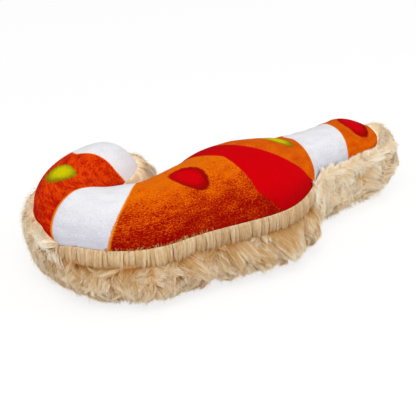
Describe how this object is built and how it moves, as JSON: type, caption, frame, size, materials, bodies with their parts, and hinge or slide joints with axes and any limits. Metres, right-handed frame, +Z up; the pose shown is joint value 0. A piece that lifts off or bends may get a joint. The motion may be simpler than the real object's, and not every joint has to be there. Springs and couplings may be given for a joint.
{
  "type": "catnip kicker toy",
  "caption": "Stuffed candy-cane cat toy with a striped plush face, a long-pile furry back, fibre stuffing and a pouch of dried leaf.",
  "frame": {"origin": "on the floor, under the middle of the furry back's box", "axes": "+X along the shaft toward the toe, +Y toward the side the crook curls to, +Z up through the printed face"},
  "size_m": [0.2382, 0.1228, 0.0627],
  "materials": {
    "printed_plush": "short-pile printed plush",
    "cream_fur": "long-pile faux fur",
    "sewing_thread": "spun polyester thread",
    "fibre_fill": "loose polyester fibre",
    "pouch_sheet": "heat-sealed non-woven sheet",
    "dried_leaf": "crumbled dried leaf"
  },
  "bodies": {
    "root": {"printed_face": "printed_plush", "fur_back": "cream_fur", "seam_needle_thread": "sewing_thread", "seam_bobbin_thread": "sewing_thread", "closing_thread": "sewing_thread", "filling_crook_tip": "fibre_fill", "filling_bend": "fibre_fill", "filling_shoulder": "fibre_fill", "filling_belly_upper": "fibre_fill", "filling_belly_lower": "fibre_fill", "filling_waist": "fibre_fill", "filling_toe": "fibre_fill", "pouch_upper_sheet": "pouch_sheet", "pouch_lower_sheet": "pouch_sheet", "dried_leaf": "dried_leaf"}
  },
  "joints": []
}
